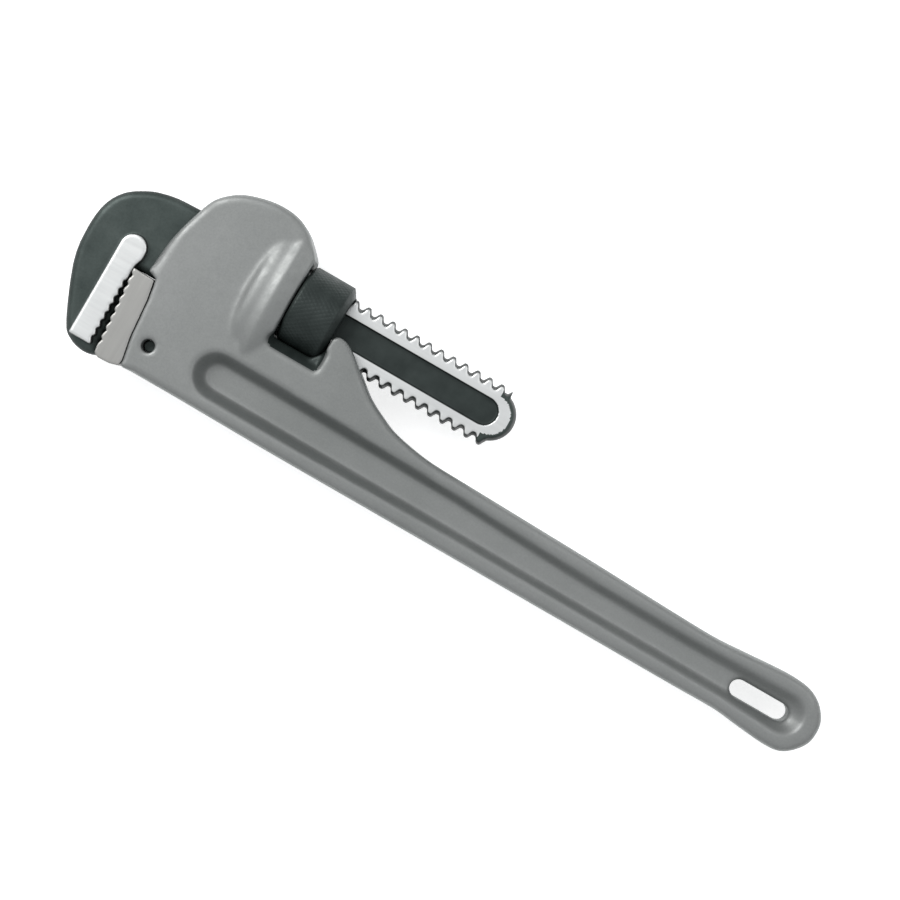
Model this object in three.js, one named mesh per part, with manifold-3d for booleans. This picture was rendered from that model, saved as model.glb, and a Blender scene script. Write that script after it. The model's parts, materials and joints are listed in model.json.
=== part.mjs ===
import * as THREE from 'three';
import { mergeVertices } from 'three/addons/utils/BufferGeometryUtils.js';
import Module from 'manifold-3d';

// Pipe wrench lying on its side. Millimetres. +X runs towards the handle end,
// +Y towards the back of the hook jaw and +Z is the thickness.
// Parts are drawn about the middle plane z = 0 and lifted onto the floor at the end.

// Overall thicknesses, each measured from the middle plane
const COLLAR_HALF = 14.6;
const COLLAR_Y = 9.8;
const CHEEK_HALF = 11;
const FLANGE_HALF = 8;
const WEB_HALF = 4.2;

// Threaded shank of the hook jaw
const SHANK_Y = 12.4;
const SHANK_HALF = 4.7;
const SHANK_TOP = 23;
const SHANK_BOTTOM = 1.5;
const SHANK_END = 8.9;
const PITCH = 4.75;
const CREST_R = 11.05;
const ROOT_R = 9;
const THREAD_START = -81;
const THREAD_END = 3.1;
const SCREW_START = -89.1;
const SLOT_HALF = 4.75;
const SLOT_FLOOR = 2.8;

// Adjusting nut and the pocket it turns in
const NUT_R = 14.3;
const NUT_LEFT = -76.15;
const NUT_RIGHT = -58.95;
const POCKET_LEFT = -76.9;
const POCKET_RIGHT = -58.3;
const POCKET_FLOOR = -5.2;
const RIDGE_TOP = 0.2;
const NUT_GAP = 0.55;
const THREAD_GAP = 0.35;
const FLANK_GAP = 0.25;

// Channel through the housing
const CHANNEL_HALF = 6.7;
const FORK_HALF = 5.4;
const ROOF = 26.8;
const CHANNEL_FLOOR = -0.6;
const HOLE_X = -104;
const HOLE_R = 3.6;
const HOLE_TOP = 33.6;

// Jaws
const BAR_HALF = 8.4;
const HOOK_HALF = 6.2;
const WEB_LOW = -4.5;
const TOOTH = 3.05;
const TOOTH_DEEP = 0.9;
const HEEL_HALF = 10.6;
const TONGUE_HALF = 4.5;
const PIN_X = -111;
const PIN_Y = -25.3;
const PIN_R = 2;
const PIN_HALF = 5.6;
const CLEAR = 0.3;

const wasm = await Module();
wasm.setup();

const solid = (geometry) => {
  const g = geometry.clone();
  for (const name of Object.keys(g.attributes)) {
    if (name !== 'position') g.deleteAttribute(name);
  }
  const m = mergeVertices(g, 1e-4);
  return new wasm.Manifold(new wasm.Mesh({
    numProp: 3,
    vertProperties: new Float32Array(m.attributes.position.array),
    triVerts: new Uint32Array(m.index.array),
  }));
};

const add = (...list) => list.reduce((a, b) => a.add(b));
const cut = (body, ...list) => list.reduce((a, b) => a.subtract(b), body);

function box(x0, x1, y0, y1, z0, z1) {
  const g = new THREE.BoxGeometry(x1 - x0, y1 - y0, z1 - z0);
  g.translate((x0 + x1) / 2, (y0 + y1) / 2, (z0 + z1) / 2);
  return solid(g);
}

// Side outline pushed from z0 to z1
function slab(shape, z0, z1, segments = 3) {
  const options = { depth: z1 - z0, bevelEnabled: false, curveSegments: segments };
  const g = new THREE.ExtrudeGeometry(shape, options);
  g.translate(0, 0, z0);
  return solid(g);
}

// Plan outline, x against z, pushed along y
function planSlab(points, y0, y1) {
  const shape = new THREE.Shape(points.map(([x, z]) => new THREE.Vector2(x, z)));
  const g = new THREE.ExtrudeGeometry(shape, { depth: y1 - y0, bevelEnabled: false });
  g.rotateX(Math.PI / 2);
  g.translate(0, y1, 0);
  return solid(g);
}

const cylinder = (r, z0, z1, x, y, segments = 24) => {
  const g = new THREE.CylinderGeometry(r, r, z1 - z0, segments);
  g.rotateX(Math.PI / 2);
  g.translate(x, y, (z0 + z1) / 2);
  return solid(g);
};

// Profile of [radius, height] pairs turned about the x axis of the shank
function turned(profile, segments) {
  const g = new THREE.LatheGeometry(profile.map(([r, x]) => new THREE.Vector2(r, x)), segments);
  g.rotateZ(-Math.PI / 2);
  return g;
}

const onShank = (geometry) => solid(geometry.translate(0, SHANK_Y, 0));

// Profile turned about an upright axis (along y) at x
function upright(profile, x, segments) {
  const g = new THREE.LatheGeometry(profile.map(([r, y]) => new THREE.Vector2(r, y)), segments);
  return solid(g.translate(x, 0, 0));
}

const poly = (points) => new THREE.Shape(points.map(([x, y]) => new THREE.Vector2(x, y)));
const thru = (shape, points) => shape.splineThru(points.map(([x, y]) => new THREE.Vector2(x, y)));

// Right-hand screw about +x. The section is a trapezoid; grow widens it into a cutter.
function screw(root, crest, start, turns, grow, segments = 24) {
  const g = grow / PITCH;
  const marks = [[0.15 - g, root], [0.36 - g, crest], [0.64 + g, crest], [0.85 + g, root]];
  const rows = turns * marks.length;
  const at = (row, j) => {
    const [phase, r] = marks[row % marks.length];
    const x = start + PITCH * (Math.floor(row / marks.length) + phase + j / segments);
    const angle = (2 * Math.PI * j) / segments;
    return [x, r * Math.cos(angle), r * Math.sin(angle)];
  };
  const position = [];
  const index = [];
  for (let j = 0; j < segments; j++) {
    for (let row = 0; row < rows; row++) position.push(...at(row, j));
  }
  for (let row = 0; row < marks.length; row++) position.push(...at(rows + row, 0));
  const extra = segments * rows;
  const id = (row, j) => {
    if (j < segments) return j * rows + row;
    const wrapped = row + marks.length;
    return wrapped < rows ? wrapped : extra + wrapped - rows;
  };
  for (let j = 0; j < segments; j++) {
    for (let row = 0; row + 1 < rows; row++) {
      index.push(id(row, j), id(row + 1, j + 1), id(row + 1, j));
      index.push(id(row, j), id(row, j + 1), id(row + 1, j + 1));
    }
  }
  const ends = [];
  for (let j = 0; j <= segments; j++) ends.push(id(0, j));
  for (let row = marks.length - 1; row > 0; row--) ends.push(row);
  const tail = [];
  for (let j = segments; j >= 0; j--) tail.push(id(rows - 1, j));
  for (let k = 0; k < marks.length - 1; k++) tail.push(extra + k);
  const near = position.length / 3;
  position.push(start - PITCH, 0, 0);
  const far = near + 1;
  position.push(start + PITCH * (turns + 2), 0, 0);
  ends.forEach((a, k) => index.push(near, ends[(k + 1) % ends.length], a));
  tail.forEach((a, k) => index.push(far, tail[(k + 1) % tail.length], a));
  const out = new THREE.BufferGeometry();
  out.setAttribute('position', new THREE.Float32BufferAttribute(position, 3));
  out.setIndex(index);
  return onShank(out);
}

// Closed ring of points joined to the next ring; the first and last ring are filled
function loft(rings) {
  const n = rings[0].length;
  const position = rings.flat(2);
  const index = [];
  for (let k = 0; k + 1 < rings.length; k++) {
    for (let i = 0; i < n; i++) {
      const a = k * n + i;
      const b = k * n + ((i + 1) % n);
      index.push(a, b, b + n, a, b + n, a + n);
    }
  }
  const flat = rings[0].map(([x, y]) => new THREE.Vector2(x, y));
  const top = (rings.length - 1) * n;
  for (const [a, b, c] of THREE.ShapeUtils.triangulateShape(flat, [])) index.push(c, b, a);
  const last = rings[rings.length - 1].map(([x, y]) => new THREE.Vector2(x, y));
  for (const [a, b, c] of THREE.ShapeUtils.triangulateShape(last, [])) {
    index.push(top + a, top + b, top + c);
  }
  const g = new THREE.BufferGeometry();
  g.setAttribute('position', new THREE.Float32BufferAttribute(position, 3));
  g.setIndex(index);
  return solid(g);
}

// ---- Handle casting -------------------------------------------------------

function handleOutline() {
  const s = new THREE.Shape();
  s.moveTo(-116, -35.7);
  s.lineTo(-115.8, -33.6);
  s.lineTo(-117.3, -25.8);
  s.lineTo(-118.5, -12.2);
  s.lineTo(-119.8, -4.3);
  s.lineTo(-123.6, -3.3);
  thru(s, [[-122.8, 6.9], [-121.3, 14.4], [-118.6, 22.9], [-115.9, 29], [-109.4, 34.5],
    [-100.9, 37.3], [-94.1, 38], [-88, 37], [-82.9, 34.1], [POCKET_LEFT, 27.8]]);
  s.lineTo(POCKET_LEFT, POCKET_FLOOR + 1);
  s.lineTo(POCKET_LEFT + 1, POCKET_FLOOR);
  s.lineTo(POCKET_RIGHT, POCKET_FLOOR);
  s.lineTo(POCKET_RIGHT, 7.9);
  thru(s, [[-57.3, 8.9], [-54.4, 8.9], [-51.2, 7.3]]);
  thru(s, [[-43.4, 0.9], [-37.6, -3.6], [-30.8, -7.1], [-24, -9.8], [-10.8, -12.1],
    [2.8, -12.6]]);
  s.lineTo(57.2, -14);
  thru(s, [[91.2, -15.2], [104.8, -15.4], [116.7, -14.5], [134.6, -13.2], [143, -15.3],
    [148.1, -20.6], [149.3, -25.8], [148.1, -31.2], [143, -36.5], [137.2, -38], [125.2, -37],
    [116.7, -35.9], [109.9, -35.7]]);
  s.lineTo(-116, -35.7);
  return s;
}

// Half thickness of the casting against x
const PLAN = [[-124, 9.8], [-120.5, CHEEK_HALF], [-49, CHEEK_HALF], [10, 8.5], [105, FLANGE_HALF],
  [143, FLANGE_HALF], [151, 7]];

const halfAt = (x) => {
  const k = Math.max(1, PLAN.findIndex(([px]) => px > x));
  const [x0, h0] = PLAN[k - 1];
  const [x1, h1] = PLAN[k];
  return h0 + ((h1 - h0) * (x - x0)) / (x1 - x0);
};

// Pocket of the I-beam handle: floor and rim share their points one to one
function recess() {
  const rim = [];
  const floor = [];
  const pair = (x, yr, yf, xf = x) => {
    rim.push([x, yr]);
    floor.push([xf, yf]);
  };
  const steps = 8;
  for (let i = 0; i <= steps; i++) {
    const a = Math.PI / 2 + (Math.PI * i) / steps;
    pair(-86.3 + 7.8 * Math.cos(a), -22.6 + 7.7 * Math.sin(a),
      -22.8 + 4.8 * Math.sin(a), -85.7 + 4.8 * Math.cos(a));
  }
  pair(6, -29.9, -28.1);
  pair(91, -30.7, -28.5);
  pair(113, -31, -28.7);
  for (let i = 0; i <= steps; i++) {
    const a = -Math.PI / 2 + (Math.PI * i) / steps;
    pair(136.2 + 6.9 * Math.cos(a), -25.3 + 6.9 * Math.sin(a),
      -25.7 + 3.9 * Math.sin(a), 135.4 + 3.9 * Math.cos(a));
  }
  pair(113, -18.9, -22);
  pair(91, -19.3, -22);
  pair(57, -18.9, -21.6);
  pair(6, -17.2, -19.3);
  const low = floor.map(([x, y]) => [x, y, WEB_HALF]);
  const mid = rim.map(([x, y]) => [x, y, halfAt(x) - 0.4]);
  const high = rim.map(([x, y]) => [x, y, 20]);
  const side = loft([low, mid, high]);
  return [side, side.mirror([0, 0, 1])];
}

// Swelling in front of the nut, round about the shank and drawn out in y
function collar(outline) {
  const swell = turned([[0, -94.4], [9.6, -94.4], [11, -92.6], [12.9, -90.6], [13.5, -88.8],
    [13.7, -85.6], [COLLAR_HALF, -83.2], [COLLAR_HALF, -82.2], [13.8, -79.8],
    [12.6, POCKET_LEFT], [0, POCKET_LEFT]], 64);
  swell.scale(1, 2.3, 1);
  swell.translate(0, COLLAR_Y, 0);
  return solid(swell).intersect(slab(outline, -15, 15));
}

// The floor of the nut's pocket rises in the middle and is hollowed to follow the nut
function pocketRidge() {
  const points = [];
  for (let z = -10.8; z <= 10.81; z += 1.8) {
    points.push(new THREE.Vector2(z, RIDGE_TOP - 5.7 * (z / 10.8) ** 2));
  }
  points.push(new THREE.Vector2(10.8, -7), new THREE.Vector2(-10.8, -7));
  const depth = POCKET_RIGHT - POCKET_LEFT + 2;
  const g = new THREE.ExtrudeGeometry(new THREE.Shape(points), { depth, bevelEnabled: false });
  g.rotateY(Math.PI / 2);
  const foot = slab(poly([[-62.5, -6], [-62.5, -2.4], [-60.6, -0.6], [NUT_RIGHT, 1.9],
    [-58.1, 2.6], [-58.1, -6]]), -8, 8);
  const sweep = NUT_R + NUT_GAP;
  const hollow = onShank(turned([[0, -80], [sweep, -80], [sweep, -60.9],
    [10.9 + NUT_GAP, NUT_RIGHT], [10.9 + NUT_GAP, -50], [0, -50]], 48));
  return add(solid(g.translate(POCKET_LEFT - 1, 0, 0)), foot).subtract(hollow);
}

function handleBody() {
  const outline = handleOutline();
  const right = PLAN.map(([x, z]) => [x, z]);
  const left = PLAN.map(([x, z]) => [x, -z]).reverse();
  const beam = slab(outline, -12, 12).intersect(planSlab([...left, ...right], -40, 40));
  const channel = slab(poly([[-130, -4.85], [-120, -4.85], [-116.2, CHANNEL_FLOOR],
    [-70, CHANNEL_FLOOR], [-70, 24.9], [-82, 24.9], [-87, ROOF], [-130, ROOF]]),
  -CHANNEL_HALF, CHANNEL_HALF);
  const fork = box(-66, -30, -1, 20, -FORK_HALF, FORK_HALF);
  const springHole = upright([[0, ROOF - 1], [HOLE_R, ROOF - 1], [HOLE_R, HOLE_TOP],
    [0, HOLE_TOP + 1]], HOLE_X, 20);
  const tongueSlot = box(-130, -102.1, -32.4, -8.6, -TONGUE_HALF - 0.35, TONGUE_HALF + 0.35);
  const pinHole = cylinder(PIN_R + CLEAR, -12, 12, PIN_X, PIN_Y);
  const hang = new THREE.Shape();
  hang.absarc(119.2, -26, 3.1, Math.PI / 2, (3 * Math.PI) / 2);
  hang.absarc(135, -26, 3.1, -Math.PI / 2, Math.PI / 2);
  return cut(add(beam, collar(outline), pocketRidge()), channel, fork, springHole, tongueSlot,
    pinHole, ...recess(), slab(hang, -9, 9, 8));
}

// ---- Hook jaw -------------------------------------------------------------

function hookWeb() {
  const s = new THREE.Shape();
  s.moveTo(-112, SHANK_TOP);
  s.lineTo(-117, SHANK_TOP);
  s.lineTo(-122, SHANK_TOP - 0.2);
  thru(s, [[-127.5, 22.5], [-132.7, 21.5], [-137.7, 19.7], [-144.3, 15.3], [-148.3, 8.5],
    [-149.3, -1.6], [-147.6, -13.5], [-139.8, -31.9], [-135.6, -36.2], [-131, -37.6],
    [-127.6, -37.4]]);
  s.lineTo(-126.15, -36.6);
  s.lineTo(-126.35, -34);
  s.lineTo(-128.7, -5.6);
  s.lineTo(-128.7, WEB_LOW);
  s.lineTo(-120.9, WEB_LOW);
  s.lineTo(-117, SHANK_BOTTOM);
  s.lineTo(-112, SHANK_BOTTOM);
  return cut(slab(s, -HOOK_HALF, HOOK_HALF), ...notches(-128.36, -10.9, -126.4, -33.9, 1));
}

function toothBar() {
  const s = new THREE.Shape();
  s.moveTo(-137, -34.6);
  s.lineTo(-128.6, -34.6);
  s.lineTo(-128.6, -4.2);
  s.lineTo(-127.5, -1.2);
  s.lineTo(-127.5, 0.7);
  s.absarc(-132.25, 0.7, 4.75, 0, Math.PI);
  return cut(slab(s, -BAR_HALF, BAR_HALF, 8), ...notches(-128.6, -9.4, -128.6, -33.9, 1));
}

// Row of notches whose tips lie on the line from (x0, y0) to (x1, y1), opening to +x or -x
function notches(x0, y0, x1, y1, side) {
  const count = Math.floor(Math.abs(y1 - y0) / TOOTH);
  const list = [];
  for (let i = 0; i < count; i++) {
    const x = x0 + ((x1 - x0) * i) / count;
    const xn = x0 + ((x1 - x0) * (i + 1)) / count;
    const y = y0 + ((y1 - y0) * i) / count;
    const yn = y0 + ((y1 - y0) * (i + 1)) / count;
    const deep = x - side * TOOTH_DEEP;
    list.push(slab(poly([[x + side, y - 0.2], [x, y - 0.25], [deep, y - 1.1], [xn, yn + 0.25],
      [xn + side, yn + 0.2]]), -10, 10));
  }
  return list;
}

function hookJaw() {
  const blade = box(-114, THREAD_START + 1.6, SHANK_BOTTOM, SHANK_TOP, -SHANK_HALF, SHANK_HALF);
  const core = onShank(turned([[0, THREAD_START], [ROOT_R - 0.1, THREAD_START], [ROOT_R - 0.1, 0.8],
    [8.5, 2.9], [7.6, 4.9], [6.2, 6.6], [4.3, 8], [2.1, 8.75], [0, SHANK_END]], 24));
  const turns = Math.ceil((THREAD_END - THREAD_START) / PITCH) + 2;
  const helix = screw(ROOT_R, CREST_R, SCREW_START, turns, 0)
    .intersect(box(THREAD_START, THREAD_END, -10, 30, -12, 12));
  const shank = add(core, helix).intersect(box(-90, 20, -10, 30, -SHANK_HALF, SHANK_HALF));
  const slot = new THREE.Shape();
  slot.absarc(2.3 - SLOT_HALF, SHANK_Y, SLOT_HALF, -Math.PI / 2, Math.PI / 2);
  slot.absarc(-103, SHANK_Y, SLOT_HALF, Math.PI / 2, (3 * Math.PI) / 2);
  return cut(add(hookWeb(), toothBar(), blade, shank), slab(slot, SLOT_FLOOR, 7, 8),
    slab(slot, -7, -SLOT_FLOOR, 8));
}

// ---- Heel jaw and its pin -------------------------------------------------

function heelJaw() {
  const block = slab(poly([[-128.25, -4.9], [-120.6, -5.1], [-120.1, -5.5], [-118.85, -12.3],
    [-117.65, -25.8], [-116.15, -33.6], [-116.3, -35.9], [-119.5, -36.9], [-123.9, -37.1],
    [-125.6, -36], [-125.95, -33.9]]), -HEEL_HALF, HEEL_HALF);
  const tongue = box(-119.5, -102.5, -32, -9, -TONGUE_HALF, TONGUE_HALF);
  const bore = cylinder(PIN_R + CLEAR, -12, 12, PIN_X, PIN_Y);
  return cut(add(block, tongue), bore, ...notches(-128.23, -6.2, -126.08, -33.4, -1));
}

const heelPin = () => cylinder(PIN_R, -PIN_HALF, PIN_HALF, PIN_X, PIN_Y);

// ---- Adjusting nut --------------------------------------------------------

function adjustingNut() {
  const blank = onShank(turned([[0, NUT_LEFT], [13.4, NUT_LEFT], [NUT_R, NUT_LEFT + 0.9],
    [NUT_R, -61], [10.9, NUT_RIGHT], [0, NUT_RIGHT]], 48));
  return blank.subtract(screw(ROOT_R + THREAD_GAP, CREST_R + THREAD_GAP, SCREW_START, 9,
    FLANK_GAP));
}

// ---- Spring over the back of the shank ------------------------------------

const LEAF_LOW = SHANK_Y + CREST_R + 0.3;
const LEAF_HIGH = LEAF_LOW + 0.9;

function flatSpring() {
  const leaf = box(-119, -86, LEAF_LOW, LEAF_HIGH, -4, 4);
  const hole = upright([[0, LEAF_LOW - 1], [1.9, LEAF_LOW - 1], [1.9, LEAF_LOW],
    [1.25, LEAF_LOW + 0.5], [1.25, LEAF_HIGH + 1], [0, LEAF_HIGH + 1]], HOLE_X, 20);
  return leaf.subtract(hole);
}

function springRivet() {
  return upright([[0, LEAF_LOW + 0.1], [1.5, LEAF_LOW + 0.1], [0.9, LEAF_LOW + 0.6],
    [0.9, LEAF_HIGH + 0.25], [1.8, LEAF_HIGH + 0.25], [1.7, LEAF_HIGH + 0.7],
    [1.1, LEAF_HIGH + 1], [0, LEAF_HIGH + 1.05]], HOLE_X, 20);
}

function coilSpring() {
  const turns = 5;
  const low = LEAF_HIGH + 0.6;
  const high = HOLE_TOP - 0.9;
  const points = [];
  for (let i = 0; i <= turns * 12; i++) {
    const a = (2 * Math.PI * i) / 12;
    const y = low + ((high - low) * i) / (turns * 12);
    points.push(new THREE.Vector3(HOLE_X + 2.7 * Math.cos(a), y, 2.7 * Math.sin(a)));
  }
  const wire = new THREE.Shape();
  wire.absarc(0, 0, 0.45, 0, 2 * Math.PI);
  return solid(new THREE.ExtrudeGeometry(wire, {
    steps: turns * 12,
    curveSegments: 3,
    extrudePath: new THREE.CatmullRomCurve3(points),
  }));
}

// ---- Assembly -------------------------------------------------------------

function geometryOf(body) {
  const mesh = body.translate([0, 0, COLLAR_HALF]).getMesh();
  const g = new THREE.BufferGeometry();
  const position = new THREE.Float32BufferAttribute(mesh.vertProperties, 3);
  g.setAttribute('position', position);
  g.setIndex(Array.from(mesh.triVerts));
  const flat = g.toNonIndexed();
  flat.computeVertexNormals();
  return flat;
}

const ALUMINIUM = { color: 0x949794, roughness: 0.5, metalness: 0.8 };
const BLACK_STEEL = { color: 0x414a47, roughness: 0.5, metalness: 0.6 };
const HEEL_STEEL = { color: 0xb0afaa, roughness: 0.4, metalness: 0.8 };
const NUT_STEEL = { color: 0x2f3a36, roughness: 0.5, metalness: 0.6 };
const SPRING_STEEL = { color: 0x6d7072, roughness: 0.4, metalness: 0.9 };

const group = new THREE.Group();

function place(name, body, look) {
  const mesh = new THREE.Mesh(geometryOf(body), new THREE.MeshStandardMaterial(look));
  mesh.name = name;
  group.add(mesh);
}

place('handle_body', handleBody(), ALUMINIUM);
place('hook_jaw', hookJaw(), BLACK_STEEL);
place('heel_jaw', heelJaw(), HEEL_STEEL);
place('heel_jaw_pin', heelPin(), SPRING_STEEL);
place('adjusting_nut', adjustingNut(), NUT_STEEL);
place('flat_spring', flatSpring(), SPRING_STEEL);
place('coil_spring', coilSpring(), SPRING_STEEL);
place('spring_rivet', springRivet(), SPRING_STEEL);

export default group;
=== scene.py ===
"""Looks of the pipe wrench: smooth cast, forged and ground surfaces drawn round the CAD frame."""

import json
import math

import bpy
import numpy as np
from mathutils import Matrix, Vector
from mathutils.bvhtree import BVHTree


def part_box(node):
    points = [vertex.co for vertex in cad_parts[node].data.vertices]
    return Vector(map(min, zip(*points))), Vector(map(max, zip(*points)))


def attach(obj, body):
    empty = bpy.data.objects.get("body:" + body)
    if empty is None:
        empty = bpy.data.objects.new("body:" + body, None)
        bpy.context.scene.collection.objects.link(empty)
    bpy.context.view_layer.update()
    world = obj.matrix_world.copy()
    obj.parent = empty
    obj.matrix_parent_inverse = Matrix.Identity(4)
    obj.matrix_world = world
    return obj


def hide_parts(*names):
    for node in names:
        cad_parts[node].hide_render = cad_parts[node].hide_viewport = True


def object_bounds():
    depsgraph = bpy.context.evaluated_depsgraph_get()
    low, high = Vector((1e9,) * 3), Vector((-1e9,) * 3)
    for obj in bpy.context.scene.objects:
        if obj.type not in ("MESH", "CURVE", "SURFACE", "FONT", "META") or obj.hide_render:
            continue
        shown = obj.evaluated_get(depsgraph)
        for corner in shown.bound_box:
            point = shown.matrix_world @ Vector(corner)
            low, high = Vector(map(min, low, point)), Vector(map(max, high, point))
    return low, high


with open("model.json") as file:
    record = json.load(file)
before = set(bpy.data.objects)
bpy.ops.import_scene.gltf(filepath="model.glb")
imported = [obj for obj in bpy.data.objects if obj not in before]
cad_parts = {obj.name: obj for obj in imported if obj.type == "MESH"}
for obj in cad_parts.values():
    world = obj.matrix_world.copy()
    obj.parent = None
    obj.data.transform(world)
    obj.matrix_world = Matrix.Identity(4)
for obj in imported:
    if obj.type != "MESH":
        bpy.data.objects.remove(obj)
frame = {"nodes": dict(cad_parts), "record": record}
CAD_BOX = [list(corner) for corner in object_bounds()]
MM = 1000.0
MID = MM * (CAD_BOX[0][2] + CAD_BOX[1][2]) / 2
BEHAVIOUR = frame["record"]["behaviour"]
NUT_JOINT = next(j for j in BEHAVIOUR["joints"] if j["name"] == "nut_spin")
SHANK_Y = MM * NUT_JOINT["pos_m"][1]
PITCH = MM * 2 * math.pi / BEHAVIOUR["couplings"][0]["ratio"]
SHANK_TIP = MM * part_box("hook_jaw")[1].x

# Sizes in millimetres; a name that ends in HALF is measured from the middle plane.
CREST_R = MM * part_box("hook_jaw")[1].y - SHANK_Y
ROOT_R = CREST_R - 2.05
THREAD_START = SHANK_TIP - 98
THREAD_GAP = 0.35
TIP_R = 9
SHANK_HALF = 4.7
SLOT_FLOOR = 2.8
HOOK_HALF = 6.2
BAR_HALF = 8.4
HEEL_HALF = 10.6
TONGUE_HALF = 4.5
FORK_HALF = 4.9
POCKET_HALF = 10.2
WELL_R = 4.6
WELL_RISE = 1.7
WELL_WALL = 1.6

CAMERA_HEIGHT = 0.75
CAMERA_TURN = math.radians(30)


# ---- Reading shapes off the frame -----------------------------------------

def cad(node):
    """Vertices in millimetres, with z from the middle plane, and triangles of a CAD node."""
    mesh = frame["nodes"][node].data
    mesh.calc_loop_triangles()
    v = np.empty(len(mesh.vertices) * 3)
    mesh.vertices.foreach_get("co", v)
    v = v.reshape(-1, 3) * MM
    v[:, 2] -= MID
    t = np.empty(len(mesh.loop_triangles) * 3, int)
    mesh.loop_triangles.foreach_get("vertices", t)
    return v, t.reshape(-1, 3)


def loops(node, z):
    """Closed outlines of a CAD node cut at height z, the largest first."""
    v, t = cad(node)
    links = {}
    for tri in v[t]:
        up = tri[:, 2] > z
        if up.all() or not up.any():
            continue
        ends = []
        for i in range(3):
            a, b = sorted((tuple(tri[i]), tuple(tri[(i + 1) % 3])))
            if (a[2] > z) != (b[2] > z):
                w = (z - a[2]) / (b[2] - a[2])
                ends.append(tuple(round(a[k] + w * (b[k] - a[k]), 3) for k in (0, 1)))
        if ends[0] != ends[1]:
            links.setdefault(ends[0], []).append(ends[1])
            links.setdefault(ends[1], []).append(ends[0])
    found = []
    while links:
        at = next(iter(links))
        ring = []
        while at is not None:
            ring.append(at)
            at = next((n for n in links.pop(at) if n in links), None)
        if len(ring) > 2:
            found.append(np.array(ring))

    def area(r):
        n = np.roll(r, -1, 0)
        return abs((r[:, 0] * n[:, 1] - r[:, 1] * n[:, 0]).sum()) / 2

    return sorted(found, key=area, reverse=True)


def distance(rings, x, y):
    """Signed distance in the plane to closed rings, negative inside."""
    best = np.full(x.shape, 1e9)
    inside = np.zeros(x.shape, bool)
    for ring in rings:
        for (ax, ay), (bx, by) in zip(ring, np.roll(ring, -1, 0)):
            dx, dy = bx - ax, by - ay
            w = np.clip(((x - ax) * dx + (y - ay) * dy) / (dx * dx + dy * dy), 0, 1)
            best = np.minimum(best, (x - ax - w * dx) ** 2 + (y - ay - w * dy) ** 2)
            if ay != by:
                inside ^= ((ay > y) != (by > y)) & (x < dx * (y - ay) / dy + ax)
    return np.where(inside, -1, 1) * np.sqrt(best)


def hits(node, x, y, z, way):
    """Height at which a ray from height z, going up or down, meets a CAD node, or -1."""
    v, t = cad(node)
    tree = BVHTree.FromPolygons(v.tolist(), t.tolist())
    out = np.full(x.size, -1.0)
    for i, (px, py) in enumerate(zip(x.ravel(), y.ravel())):
        hit = tree.ray_cast((px, py, z), (0, 0, way))[0]
        if hit is not None:
            out[i] = hit.z
    return out.reshape(x.shape)


# ---- Fields and skins -----------------------------------------------------

def blur(a, s):
    """Gaussian blur along every axis, s in cells."""
    r = int(3 * s) + 1
    k = np.exp(-np.arange(-r, r + 1) ** 2 / (2 * s * s))
    k /= k.sum()
    for axis in range(a.ndim):
        pad = np.pad(a, [(r, r) if n == axis else (0, 0) for n in range(a.ndim)], mode="edge")
        n = a.shape[axis]
        a = sum(w * np.take(pad, range(i, i + n), axis) for i, w in enumerate(k))
    return a


def fill(values, known, s):
    """Blurred values, carried past the edge of where they are known."""
    values = np.where(known, values, 0)
    near, far = blur(known * 1.0, s), blur(known * 1.0, 5 * s)
    wide = blur(values, 5 * s) / np.maximum(far, 1e-6)
    return np.where(near > 1e-3, blur(values, s) / np.maximum(near, 1e-3), wide)


def rounded(a, b, r):
    """Where both a and b are inside, with the edge between them rounded to r."""
    a, b = a + r, b + r
    return np.minimum(np.maximum(a, b), 0) + np.hypot(np.maximum(a, 0), np.maximum(b, 0)) - r


def merged(a, b, k):
    """Either a or b, with a fillet of about k between them."""
    h = np.maximum(k - np.abs(a - b), 0) / k
    return np.minimum(a, b) - h * h * k / 4


def grid(node, cell):
    """Sample points, in millimetres, over a node's box with a margin."""
    lo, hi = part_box(node)
    lo = np.array(lo) * MM - (0, 0, MID) - 3 * cell
    hi = np.array(hi) * MM - (0, 0, MID) + 4 * cell
    axes = [np.arange(a, b, cell) for a, b in zip(lo, hi)]
    x, y = np.meshgrid(axes[0], axes[1], indexing="ij")
    return lo, x, y, axes[2][None, None, :]


def skin(f, origin, cell):
    """Surface of f = 0 as quads, one vertex in each cell that the surface crosses."""
    ids, points, quads = [], [], []
    for axis in range(3):
        step = np.eye(3, dtype=int)[axis]
        low = np.take(f, range(f.shape[axis] - 1), axis)
        high = np.take(f, range(1, f.shape[axis]), axis)
        at = np.argwhere((low < 0) != (high < 0))
        f0 = f[tuple(at.T)]
        f1 = f[tuple((at + step).T)]
        p = at + (f0 / (f0 - f1))[:, None] * step
        b, c = (axis + 1) % 3, (axis + 2) % 3
        ring = []
        for db, dc in ((0, 0), (-1, 0), (-1, -1), (0, -1)):
            q = at.copy()
            q[:, b] += db
            q[:, c] += dc
            ring.append(np.ravel_multi_index(tuple(q.T), f.shape))
        ring = np.stack(ring, 1)
        quads.append(np.where((f0 < 0)[:, None], ring, ring[:, ::-1]))
        ids.append(ring.ravel())
        points.append(np.repeat(p, 4, axis=0))
    ids, points, quads = map(np.concatenate, (ids, points, quads))
    cells, inverse = np.unique(ids, return_inverse=True)
    n = np.bincount(inverse)
    v = np.stack([np.bincount(inverse, points[:, k]) / n for k in range(3)], 1)
    return origin + cell * v, np.searchsorted(cells, quads)


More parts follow.
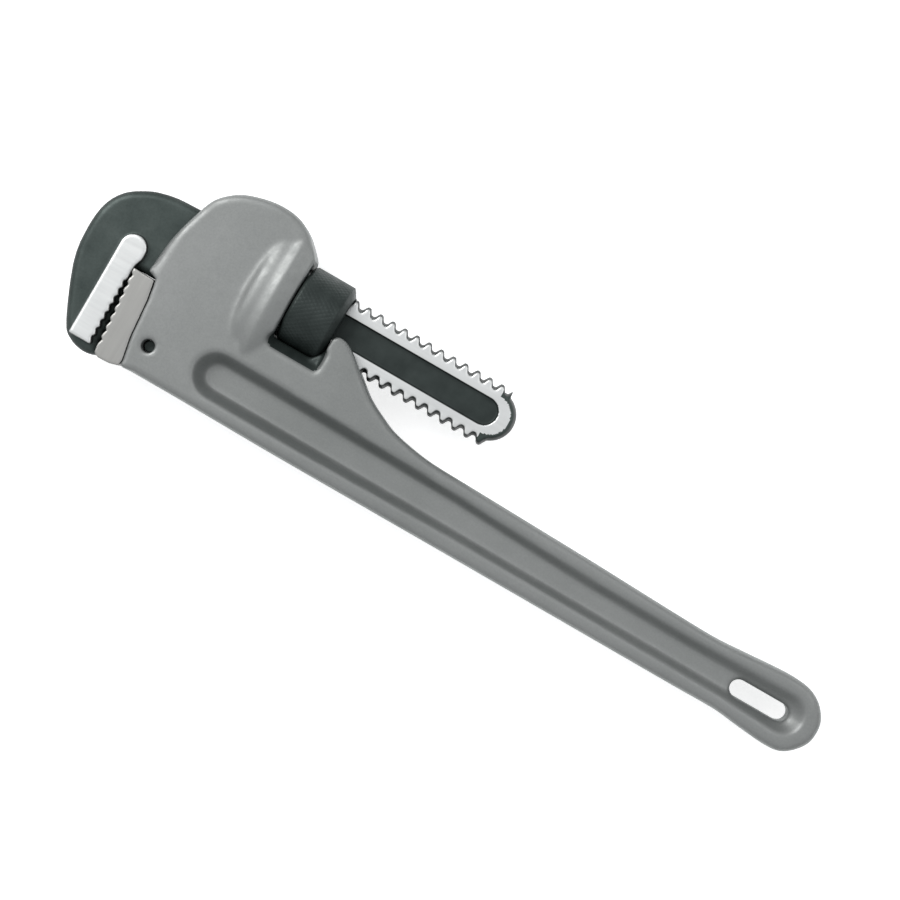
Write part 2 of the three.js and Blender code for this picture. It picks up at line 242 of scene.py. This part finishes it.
def piece(name, verts, faces, materials, body, node, pick=None):
    """A mesh object from millimetre vertices, standing for a CAD node and riding on its body."""
    mesh = bpy.data.meshes.new(name)
    verts = (np.asarray(verts, float) + (0, 0, MID)) / MM
    mesh.from_pydata(verts.tolist(), [], np.asarray(faces).tolist())
    for m in materials:
        mesh.materials.append(m)
    if pick is not None:
        mesh.polygons.foreach_set("material_index", pick.astype(np.int32))
    mesh.polygons.foreach_set("use_smooth", np.ones(len(mesh.polygons), bool))
    mesh.update()
    obj = bpy.data.objects.new(name, mesh)
    bpy.context.scene.collection.objects.link(obj)
    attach(obj, body)
    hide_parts(node)
    return obj


# ---- Materials ------------------------------------------------------------

class Paint:
    """A principled material built from object-space noise."""

    def __init__(self, name, metallic, roughness):
        self.material = bpy.data.materials.new(name)
        self.material.use_nodes = True
        self.tree = self.material.node_tree
        self.shader = self.tree.nodes["Principled BSDF"]
        self.shader.inputs["Metallic"].default_value = metallic
        self.shader.inputs["Roughness"].default_value = roughness
        self.place = self.node("ShaderNodeTexCoord").outputs["Object"]

    def node(self, kind, **values):
        n = self.tree.nodes.new(kind)
        for key, value in values.items():
            setattr(n, key, value)
        return n

    def link(self, a, b):
        self.tree.links.new(a, b)

    def stretched(self, x, y, z):
        n = self.node("ShaderNodeMapping")
        n.inputs["Scale"].default_value = (x, y, z)
        self.link(self.place, n.inputs["Vector"])
        return n.outputs["Vector"]

    def noise(self, scale, detail=4.0, rough=0.55, where=None):
        n = self.node("ShaderNodeTexNoise")
        n.inputs["Scale"].default_value = scale
        n.inputs["Detail"].default_value = detail
        n.inputs["Roughness"].default_value = rough
        self.link(where or self.place, n.inputs["Vector"])
        return n.outputs["Fac"]

    def facing_for_painted_shade(self, low, high):
        """0 on sides and slopes, 1 on faces square to the thickness; the materials darken sides
        and slopes with it as painted shade.
        """
        split = self.node("ShaderNodeSeparateXYZ")
        self.link(self.node("ShaderNodeTexCoord").outputs["Normal"], split.inputs["Vector"])
        size = self.node("ShaderNodeMath", operation="ABSOLUTE")
        self.link(split.outputs["Z"], size.inputs[0])
        n = self.node("ShaderNodeMapRange", interpolation_type="SMOOTHSTEP")
        n.inputs["From Min"].default_value = low
        n.inputs["From Max"].default_value = high
        self.link(size.outputs[0], n.inputs["Value"])
        return n.outputs["Result"]

    def ramp(self, value, stops):
        n = self.node("ShaderNodeValToRGB")
        while len(n.color_ramp.elements) < len(stops):
            n.color_ramp.elements.new(0.5)
        for e, (at, colour) in zip(n.color_ramp.elements, stops):
            e.position = at
            e.color = (*colour, 1) if len(colour) == 3 else (colour[0],) * 3 + (1,)
        self.link(value, n.inputs["Fac"])
        return n.outputs["Color"]

    def mix(self, factor, a, b, how="MIX"):
        n = self.node("ShaderNodeMix", data_type="RGBA", blend_type=how)
        for socket, value in ((n.inputs[0], factor), (n.inputs[6], a), (n.inputs[7], b)):
            if isinstance(value, bpy.types.NodeSocket):
                self.link(value, socket)
            else:
                socket.default_value = value
        return n.outputs[2]

    def span(self, value, low, high):
        n = self.node("ShaderNodeMapRange")
        n.inputs["From Min"].default_value = 0.3
        n.inputs["From Max"].default_value = 0.7
        n.inputs["To Min"].default_value = low
        n.inputs["To Max"].default_value = high
        self.link(value, n.inputs["Value"])
        return n.outputs["Result"]

    def bump(self, layers):
        normal = None
        for height, strength, depth in layers:
            n = self.node("ShaderNodeBump")
            n.inputs["Strength"].default_value = strength
            n.inputs["Distance"].default_value = depth
            self.link(height, n.inputs["Height"])
            if normal is not None:
                self.link(normal, n.inputs["Normal"])
            normal = n.outputs["Normal"]
        self.link(normal, self.shader.inputs["Normal"])

    def done(self, colour, roughness):
        self.link(colour, self.shader.inputs["Base Color"])
        self.link(roughness, self.shader.inputs["Roughness"])
        return self.material


def cast_aluminium():
    p = Paint("cast_aluminium", 0.6, 0.5)
    broad = p.noise(22, 3)
    grain = p.noise(1500, 3, 0.6)
    flat = p.ramp(broad, [(0.3, (0.265, 0.275, 0.268)), (0.7, (0.31, 0.318, 0.312))])
    # The darker colour on sides, slopes and recess walls is painted shade, standing in for the
    # dark rims round the edges.
    slope_painted_shade = p.ramp(broad, [(0.3, (0.2, 0.214, 0.21)), (0.7, (0.24, 0.254, 0.25))])
    colour = p.mix(p.facing_for_painted_shade(0.1, 0.9), slope_painted_shade, flat)
    colour = p.mix(0.35, colour, p.ramp(grain, [(0.3, (0.75,)), (0.75, (1.1,))]), "MULTIPLY")
    p.bump([(p.noise(160, 3), 0.12, 0.0004), (grain, 0.16, 0.0001)])
    return p.done(colour, p.span(p.noise(300, 4), 0.4, 0.55))


def dark_steel():
    p = Paint("dark_oxide", 0.55, 0.45)
    scale = p.noise(90, 5, 0.6)
    grain = p.noise(1200, 3, 0.6)
    flat = p.ramp(scale, [(0.3, (0.04, 0.054, 0.05)), (0.7, (0.072, 0.09, 0.084))])
    # The darker colour on sides and slopes is painted shade.
    slope_painted_shade = p.ramp(scale, [(0.3, (0.02, 0.025, 0.024)), (0.7, (0.035, 0.042, 0.04))])
    colour = p.mix(p.facing_for_painted_shade(0.4, 0.95), slope_painted_shade, flat)
    colour = p.mix(0.4, colour, p.ramp(grain, [(0.3, (0.7,)), (0.75, (1.2,))]), "MULTIPLY")
    p.bump([(p.noise(220, 3), 0.15, 0.0003), (grain, 0.15, 0.00008)])
    return p.done(colour, p.span(p.noise(250, 4), 0.38, 0.55))


def ground_steel(name, tint, across, side_painted_shade):
    p = Paint(name, 0.7, 0.3)
    lines = p.noise(60, 5, 0.7, p.stretched(*across))
    colour = p.mix(lines, tuple(0.88 * t for t in tint) + (1,), tuple(tint) + (1,))
    stain = p.ramp(p.noise(70, 4), [(0.3, (0.9,)), (0.6, (1.0,))])
    colour = p.mix(0.5, colour, stain, "MULTIPLY")
    # Sides and slopes take a darker copy of the tint as painted shade.
    side = tuple(side_painted_shade * t for t in tint) + (1,)
    colour = p.mix(p.facing_for_painted_shade(0.4, 0.92), side, colour)
    p.bump([(lines, 0.06, 0.00005)])
    return p.done(colour, p.span(lines, 0.28, 0.42))


def nut_steel():
    p = Paint("nut_oxide_and_pocket_shade", 0.5, 0.45)
    scale = p.noise(140, 4)
    grain = p.noise(1600, 3)
    colour = p.ramp(scale, [(0.3, (0.02, 0.028, 0.026)), (0.7, (0.038, 0.049, 0.046))])
    p.bump([(grain, 0.15, 0.00006)])
    return p.done(colour, p.span(p.noise(300, 4), 0.4, 0.55))


ALUMINIUM = cast_aluminium()
DARK = dark_steel()
# The last number of each ground_steel call sets the painted shade on sides and slopes.
BRIGHT = ground_steel("ground_steel", (0.88, 0.89, 0.88), (0.35, 14, 6), 0.15)
HEEL = ground_steel("heel_steel", (0.47, 0.465, 0.445), (14, 0.35, 6), 0.4)
NUT_OXIDE_AND_POCKET_SHADE = nut_steel()
SPRING = ground_steel("spring_steel", (0.3, 0.3, 0.31), (1, 8, 8), 0.8)


# ---- Handle casting -------------------------------------------------------

def spring_well(x, y, z, outline):
    """The blind hole round the coil, with room for the coil to rock inside it."""
    lo, hi = (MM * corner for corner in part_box("coil_spring"))
    well = np.hypot((x - (lo.x + hi.x) / 2)[..., None], z) - WELL_R
    well = np.maximum(well, np.maximum(lo.y - y, y - hi.y - WELL_RISE)[..., None])
    return np.maximum(well, outline[..., None] + WELL_WALL)


def casting():
    """The handle and housing, with rounded edges, and painted shade in the nut's pocket, whose
    faces take the nut's dark colour.
    """
    node, cell = "handle_body", 0.68
    origin, x, y, z = grid(node, cell)
    lo, hi = (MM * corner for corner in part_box("adjusting_nut"))
    rings = loops(node, 6.9)
    hang = next(ring for ring in loops(node, 2.0) if ring[:, 0].min() > 100)
    hang = distance([hang], x, y)
    outline = distance(rings[:1], x, y)
    seam = distance(loops("heel_jaw", 6.0)[:1], x, y)
    soft = np.clip((seam - 1) / 3, 0, 1)
    side = soft * (blur(outline, 1.1) - np.interp(x, [-95, -60, 100, 140], [0, 0.35, 0.45, 0]))
    side += (1 - soft) * (outline - 0.2)
    pocket = np.maximum(np.maximum(lo.x - 0.8 - x, x - hi.x - 0.7), lo.y - 3.3 - y)
    top = hits(node, x, y, 60, -1)
    side = np.where((pocket < 0) & (top > 0), np.minimum(side, -0.8), side)
    side = np.maximum(side, -hang)
    pin = distance(rings[2:3], x, y)
    edge = 2.3 * np.clip((np.minimum(pocket, seam) - 0.8) / 4, 0, 1)
    edge = np.clip(np.minimum(edge, 1.3 + np.maximum(hang - 2, 0)), 0.3, 2.3)
    top = fill(top, top > 0, 0.9)
    middle = distance(loops(node, 0.01), x, y)
    roof = hits(node, x, y, 0.02, 1)
    roof = fill(roof, (middle > 0) & (roof > 0), 0.5)
    roof = np.where(pin < 2, FORK_HALF, roof)
    middle, tall = middle[..., None], np.abs(z)
    f = rounded(side[..., None], tall - top[..., None], blur(edge, 1)[..., None])
    f = np.maximum(f, -np.maximum(-middle, tall - roof[..., None]))
    f = np.maximum(f, -pin[..., None])
    f = np.maximum(f, -spring_well(x, y, z, outline))
    verts, faces = skin(blur(f, 0.6), origin, cell)
    c = verts[faces].mean(1)
    # Faces in the nut's pocket take the nut's dark colour as painted shade, darkening the pocket
    # round the nut.
    inside = (c[:, 0] > lo.x - 1) & (c[:, 0] < hi.x + 0.9) & (c[:, 1] > lo.y - 3.5)
    inside &= (np.abs(c[:, 2]) < POCKET_HALF) & (c[:, 1] < hi.y + 1)
    return piece(node + "_cast", verts, faces, [ALUMINIUM, NUT_OXIDE_AND_POCKET_SHADE], "handle", node,
                 inside.astype(int))


# ---- Hook jaw -------------------------------------------------------------

def thread_radius(x, y, z, root, crest, grow):
    """Radius of the right-hand thread at a point; the same screw as the frame's."""
    turn = np.arctan2(z, y - SHANK_Y) / (2 * math.pi)
    phase = np.mod((x - THREAD_START) / PITCH - turn, 1.0)
    off = np.abs(phase - 0.5)
    rise = np.clip((0.35 + grow / PITCH - off) / 0.21, 0, 1)
    return root + (crest - root) * rise


def hook():
    """The forged hook and threaded shank, with the ground bar and rails painted bright."""
    node, cell = "hook_jaw", 0.42
    origin, x, y, z = grid(node, cell)
    tall = np.abs(z)
    web = distance(loops(node, 6.0)[:1], x, y)
    bar = distance(loops(node, 7.4)[:1], x, y)
    slot = distance(loops(node, 4.5)[1:2], x, y)
    middle = distance(loops(node, 0.01), x, y)
    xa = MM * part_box("adjusting_nut")[0].x - 3.5
    xb = SHANK_TIP - 5.8
    flat = rounded(middle[..., None], tall - SHANK_HALF, 0.7)
    flat = np.maximum(flat, (x - xa)[..., None])
    radius = np.hypot(y[..., None] - SHANK_Y, z)
    screw = radius - thread_radius(x[..., None], y[..., None], z, ROOT_R, CREST_R, 0)
    screw = np.maximum(0.8 * screw, tall - SHANK_HALF)
    screw = np.maximum(screw, np.maximum(xa - x, x - xb)[..., None])
    ball = np.hypot(radius, (x - SHANK_TIP + TIP_R)[..., None]) - TIP_R
    ball = np.maximum(ball, tall - SHANK_HALF)
    f = merged(rounded(blur(web, 1.2)[..., None], tall - HOOK_HALF, 2.2), flat, 1.5)
    f = np.minimum(f, np.minimum(screw, ball))
    f = np.maximum(f, -np.maximum(slot[..., None], SLOT_FLOOR - tall))
    f = np.minimum(f, rounded(bar[..., None], tall - BAR_HALF, 0.4))
    verts, faces = skin(blur(f, 0.6), origin, cell)
    c = verts[faces].mean(1)
    at = np.rint((c[:, :2] - origin[:2]) / cell).astype(int)
    at = tuple(np.clip(at, 0, np.array(x.shape) - 1).T)
    high = np.abs(c[:, 2])
    ground = (bar[at] < 0.25) & (high > HOOK_HALF + 0.3)
    end = np.hypot(np.maximum(c[:, 0] - SHANK_TIP + TIP_R, 0), c[:, 1] - SHANK_Y)
    rail = (c[:, 0] > xa + 15) & (slot[at] > 0.1) & (high > SHANK_HALF - 0.35)
    rail &= (end < 6.9) | (c[:, 0] < SHANK_TIP - TIP_R)
    groove = (c[:, 0] > xa) & (slot[at] < 0.1)
    pick = np.select([ground | rail, groove], [1, 2], 0)
    return piece("hook_jaw_forging", verts, faces, [DARK, BRIGHT, NUT_OXIDE_AND_POCKET_SHADE], "hook", node,
                 pick)


# ---- Heel jaw and pin -----------------------------------------------------

def heel():
    """The toothed heel jaw with its tongue."""
    node, cell = "heel_jaw", 0.3
    origin, x, y, z = grid(node, cell)
    tall = np.abs(z)
    block = distance(loops(node, 6.0)[:1], x, y)[..., None]
    middle = distance(loops(node, 0.01), x, y)[..., None]
    f = rounded(block, tall - HEEL_HALF, 0.15)
    f = np.minimum(f, rounded(middle, tall - TONGUE_HALF, 0.5))
    verts, faces = skin(blur(f, 0.6), origin, cell)
    return piece("heel_jaw_block", verts, faces, [HEEL], "handle", node)


def copied(node, name, body, material, bevel=0.0, smooth=False):
    """A CAD node's own shape, welded, with its edges bevelled if asked."""
    v, t = cad(node)
    v, back = np.unique(v.round(4), axis=0, return_inverse=True)
    obj = piece(name, v, back.reshape(-1)[t], [material], body, node)
    obj.data.polygons.foreach_set("use_smooth", np.full(len(obj.data.polygons), smooth))
    if bevel:
        m = obj.modifiers.new("edges", "BEVEL")
        m.width = bevel / MM
        m.segments = 2
        m.limit_method = "ANGLE"
        m.angle_limit = math.radians(35)
    return obj


# ---- Nut ------------------------------------------------------------------

def nut():
    """The knurled nut, spun from rows of (x, radius, depth of knurl); the bore has no radius."""
    node = "adjusting_nut"
    lo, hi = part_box(node)
    xl, xr = MM * lo.x, MM * hi.x
    r = MM * (hi.y - lo.y) / 2
    bore = CREST_R + THREAD_GAP
    outer = np.linspace(xl + 1.1, xr - 2.2, 46)
    path = [(xl, bore + 0.6, 0), (xl, 11.8, 0), (xl + 0.02, 13.2, 0), (xl + 0.3, 13.65, 0),
            (xl + 0.75, r - 0.18, 0.1)]
    path += [(x, r, 1) for x in outer]
    path += [(xr - 1.9, r - 0.3, 0.1), (xr - 1.2, 13.0, 0), (xr - 0.3, 11.5, 0),
             (xr - 0.05, 11.0, 0), (xr, 10.8, 0), (xr, bore - 0.2, 0)]
    path += [(x, None, 0) for x in np.linspace(xr - 0.02, xl + 0.02, 44)]
    n = 480
    turn = np.arange(n) / n
    angle = 2 * math.pi * turn
    verts = []
    for x, radius, knurl in path:
        if radius is None:
            y, z = SHANK_Y + np.cos(angle), np.sin(angle)
            rad = thread_radius(x, y, z, ROOT_R + THREAD_GAP, bore, 0.25)
        else:
            a = np.abs(np.mod(54 * turn + 0.46 * (x - xl), 1) - 0.5)
            b = np.abs(np.mod(54 * turn - 0.46 * (x - xl), 1) - 0.5)
            rad = radius - 0.18 * knurl * np.clip(2.6 * np.maximum(a, b) - 0.75, 0, 0.5)
        ring = [np.full(n, x), SHANK_Y + rad * np.cos(angle), rad * np.sin(angle)]
        verts.append(np.stack(ring, 1))
    rows = len(path)
    i, j = np.meshgrid(np.arange(rows), np.arange(n), indexing="ij")
    i, j = i.ravel(), j.ravel()
    k = (i + 1) % rows
    m = (j + 1) % n
    faces = np.stack([i * n + j, i * n + m, k * n + m, k * n + j], 1)
    return piece("adjusting_nut_knurled", np.concatenate(verts), faces, [NUT_OXIDE_AND_POCKET_SHADE], "nut", node)


casting()
hook()
heel()
nut()
# The pin takes the dark oxide finish, partly its own colour and partly painted shade so the pin
# hole reads dark.
copied("heel_jaw_pin", "heel_jaw_pin_steel", "handle", DARK, 0.3)
copied("flat_spring", "flat_spring_leaf", "spring_set", SPRING, 0.12)
copied("coil_spring", "coil_spring_wire", "spring_set", SPRING, smooth=True)
copied("spring_rivet", "spring_rivet_steel", "spring_set", SPRING)


# ---- Floor, light and camera ----------------------------------------------

def area_light(name, place, aim, size, power):
    data = bpy.data.lights.new(name, "AREA")
    data.shape = "RECTANGLE"
    data.size, data.size_y = size
    data.energy = power
    lamp = bpy.data.objects.new(name, data)
    lamp.location = place
    lamp.rotation_mode = "QUATERNION"
    lamp.rotation_quaternion = (Vector(aim) - Vector(place)).to_track_quat("-Z", "Y")
    bpy.context.scene.collection.objects.link(lamp)


def studio():
    mesh = bpy.data.meshes.new("floor")
    s = 4.0
    z = CAD_BOX[0][2] - 0.0005
    mesh.from_pydata([(-s, -s, z), (s, -s, z), (s, s, z), (-s, s, z)], [], [(0, 1, 2, 3)])
    p = Paint("floor_white", 0.0, 0.9)
    colour = p.ramp(p.noise(3, 2), [(0.3, (0.93,)), (0.7, (0.95,))])
    p.link(colour, p.shader.inputs["Base Color"])
    p.shader.inputs["Emission Color"].default_value = (1, 1, 1, 1)
    p.shader.inputs["Emission Strength"].default_value = 0.6
    mesh.materials.append(p.material)
    floor = bpy.data.objects.new("floor", mesh)
    bpy.context.scene.collection.objects.link(floor)
    sky()
    area_light("key", (-0.75, 0.3, 0.7), (-0.03, 0, 0), (0.5, 0.7), 6)
    area_light("fill", (0.6, 0.5, 0.9), (0, 0, 0), (0.8, 0.8), 1.5)


def sky():
    """Soft light that is brightest overhead and fades towards the walls of the room."""
    world = bpy.data.worlds.new("studio")
    world.use_nodes = True
    tree = world.node_tree
    back = tree.nodes["Background"]
    back.inputs["Color"].default_value = (0.96, 0.98, 1, 1)
    split = tree.nodes.new("ShaderNodeSeparateXYZ")
    place = tree.nodes.new("ShaderNodeTexCoord")
    tree.links.new(place.outputs["Generated"], split.inputs["Vector"])
    fade = tree.nodes.new("ShaderNodeMapRange")
    fade.inputs["From Min"].default_value = 0.0
    fade.inputs["From Max"].default_value = 0.8
    fade.inputs["To Min"].default_value = 0.3
    fade.inputs["To Max"].default_value = 0.65
    tree.links.new(split.outputs["Z"], fade.inputs["Value"])
    tree.links.new(fade.outputs["Result"], back.inputs["Strength"])
    bpy.context.scene.world = world


def camera():
    """Straight down on the wrench, which runs from upper left to lower right."""
    data = bpy.data.cameras.new("camera")
    data.sensor_width = 36
    data.lens = 88.2
    cam = bpy.data.objects.new("camera", data)
    centre = (Vector(CAD_BOX[0]) + Vector(CAD_BOX[1])) / 2
    cam.location = centre + Vector((-0.0058, -0.0049, CAMERA_HEIGHT))
    cam.rotation_euler = (0, 0, CAMERA_TURN)
    data.clip_start, data.clip_end = 0.01, 20
    bpy.context.scene.collection.objects.link(cam)
    bpy.context.scene.camera = cam


studio()
camera()
bpy.context.scene.view_settings.view_transform = "Standard"

bpy.context.view_layer.update()
